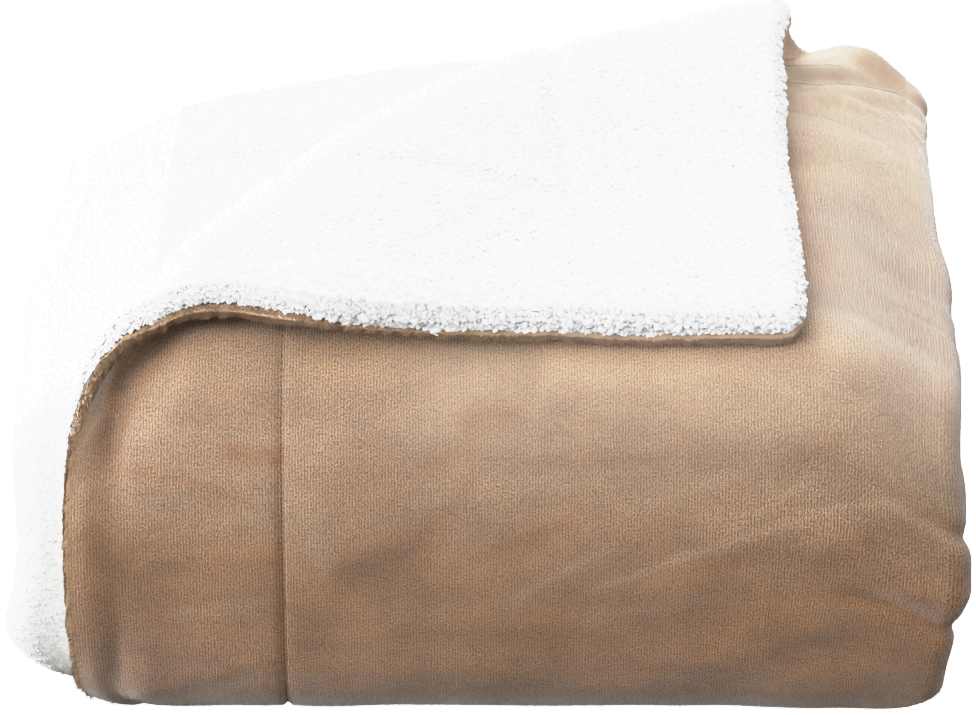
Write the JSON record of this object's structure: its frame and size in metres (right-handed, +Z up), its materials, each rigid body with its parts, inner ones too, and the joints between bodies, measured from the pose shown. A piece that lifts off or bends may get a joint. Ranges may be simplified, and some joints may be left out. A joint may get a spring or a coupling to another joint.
{
  "type": "folded plush and sherpa duvet",
  "caption": "Folded duvet with a plush face and a curly sherpa back, its free top corner turned back over the pack.",
  "frame": {"origin": "middle of the folded pack's footprint, on the surface it lies on", "axes": "+X to the right seen from the front, towards the plush folds; +Y to the back; +Z up"},
  "size_m": [0.5922, 0.5176, 0.3242],
  "materials": {
    "plush": "brushed pile",
    "sherpa": "curly pile"
  },
  "bodies": {
    "root": {"plush_face": "plush", "sherpa_back": "sherpa"}
  },
  "joints": []
}
